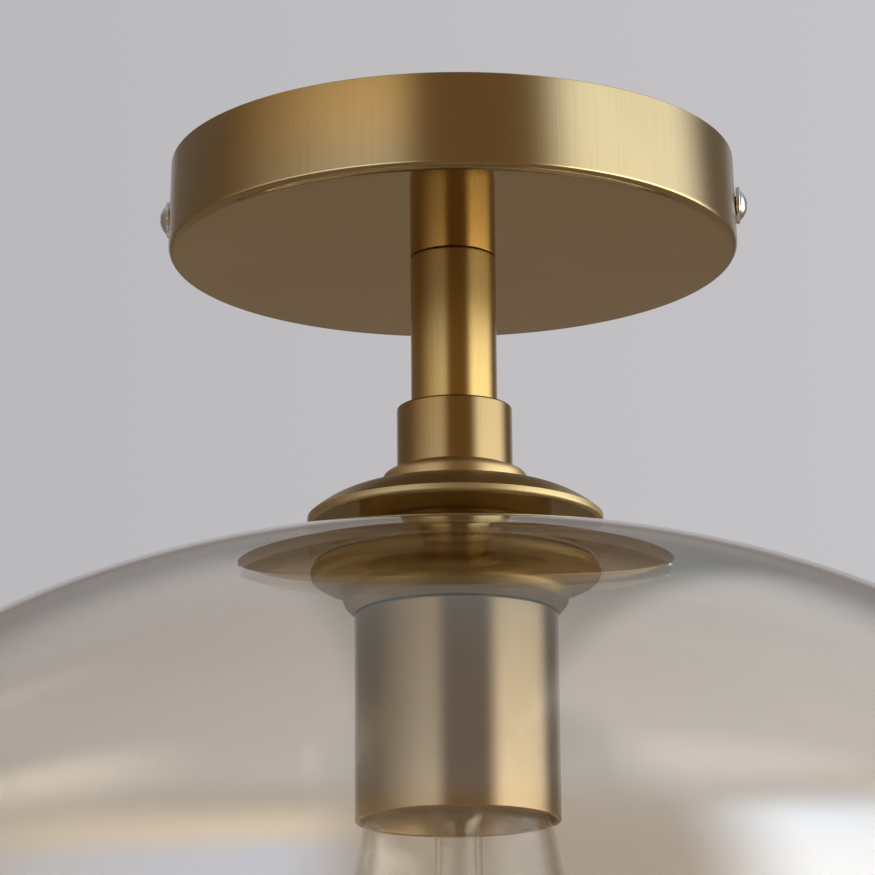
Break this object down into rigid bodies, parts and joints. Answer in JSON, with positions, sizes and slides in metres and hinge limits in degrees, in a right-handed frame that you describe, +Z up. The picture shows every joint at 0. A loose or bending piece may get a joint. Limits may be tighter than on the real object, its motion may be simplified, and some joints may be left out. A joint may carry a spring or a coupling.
{
  "type": "glass ceiling light",
  "caption": "Ceiling light with a brushed brass canopy and stem, a clamped oblate smoky glass shade open below, and a clear screw-in bulb.",
  "frame": {"origin": "centre of the ceiling bracket's slot pattern, on the ceiling plane", "axes": "+Z up into the ceiling along the stem, +X along the bracket from slot to slot and through the side screws"},
  "size_m": [0.3, 0.3, 0.2461],
  "materials": {
    "brushed_brass": "satin brushed brass plate",
    "polished_brass": "smooth brass plate",
    "bare_brass": "plain turned brass",
    "zinc_steel": "zinc plated steel",
    "nickel": "nickel plated",
    "tinted_glass": "thin semi-mirror champagne tint",
    "clear_glass": "clear blown glass",
    "ceramic": "glazed ceramic",
    "nylon": "moulded nylon",
    "silicone": "translucent silicone rubber",
    "black_glass": "black glass insulator",
    "solder": "dull solder",
    "filament_carbon": "wound filament",
    "wire_brown": "wire insulation",
    "wire_blue": "wire insulation",
    "wire_green_yellow": "wire insulation, striped"
  },
  "bodies": {
    "fixture": {"ceiling_bracket": "zinc_steel", "ear_nuts": "zinc_steel", "earth_screw": "zinc_steel", "earth_tag": "bare_brass", "terminal_block": "nylon", "terminal_barrels": "bare_brass", "terminal_screws": "zinc_steel", "canopy": "brushed_brass", "canopy_washer": "zinc_steel", "canopy_nut": "zinc_steel", "threaded_tube": "zinc_steel", "stem_tube": "brushed_brass", "stem_bushes": "bare_brass", "collar": "brushed_brass", "collar_flange": "brushed_brass", "shade_cap": "brushed_brass", "neck_spacer": "polished_brass", "upper_gasket": "silicone", "glass_grommet": "silicone", "glass_shade": "tinted_glass", "lower_gasket": "silicone", "bell_flange": "brushed_brass", "socket_cup": "brushed_brass", "holder_saddle": "zinc_steel", "holder_screws": "zinc_steel", "holder_body": "ceramic", "holder_terminals": "bare_brass", "holder_terminal_screws": "zinc_steel", "side_contact": "bare_brass", "threaded_shell": "bare_brass", "live_wire": "wire_brown", "neutral_wire": "wire_blue", "earth_wire": "wire_green_yellow"},
    "left_washer": {"side_washer_left": "nickel"},
    "left_screw": {"side_screw_left": "nickel"},
    "right_washer": {"side_washer_right": "nickel"},
    "right_screw": {"side_screw_right": "nickel"},
    "contact_leaf": {"centre_contact": "bare_brass"},
    "bulb_tip": {"tip_contact": "solder"},
    "bulb": {"bulb_cap": "nickel", "cap_insulator": "black_glass", "bulb_envelope": "clear_glass", "bulb_stem": "clear_glass", "filament_supports": "nickel", "filament": "filament_carbon"}
  },
  "joints": [
    {"name": "left_screw_travel", "type": "slide", "parent": "fixture", "child": "left_washer", "axis": [-1, 0, 0], "range_m": [0, 0.00455]},
    {"name": "left_screw_turn", "type": "hinge", "parent": "left_washer", "child": "left_screw", "pos_m": [-0.06, 0, -0.0098], "axis": [-1, 0, 0], "range_deg": [0, 2341]},
    {"name": "right_screw_travel", "type": "slide", "parent": "fixture", "child": "right_washer", "axis": [1, 0, 0], "range_m": [0, 0.00455]},
    {"name": "right_screw_turn", "type": "hinge", "parent": "right_washer", "child": "right_screw", "pos_m": [0.06, 0, -0.0098], "axis": [1, 0, 0], "range_deg": [0, 2341]},
    {"name": "contact_flex", "type": "hinge", "parent": "fixture", "child": "contact_leaf", "pos_m": [-0.015, 0, -0.10486], "axis": [0, -1, 0], "range_deg": [0, 3], "stiffness_Nm_per_rad": 0.05, "springref_deg": -5.73},
    {"name": "bulb_travel", "type": "slide", "parent": "fixture", "child": "bulb_tip", "axis": [0, 0, -1], "range_m": [0, 0.01588]},
    {"name": "bulb_turn", "type": "hinge", "parent": "bulb_tip", "child": "bulb", "pos_m": [0, 0, -0.12], "axis": [0, 0, -1], "range_deg": [0, 1575]}
  ],
  "couplings": [
    {"joint": "left_screw_turn", "follows": "left_screw_travel", "rad_per_m": 8976},
    {"joint": "right_screw_turn", "follows": "right_screw_travel", "rad_per_m": 8976},
    {"joint": "bulb_travel", "follows": "bulb_turn", "m_per_rad": 0.00057757}
  ]
}
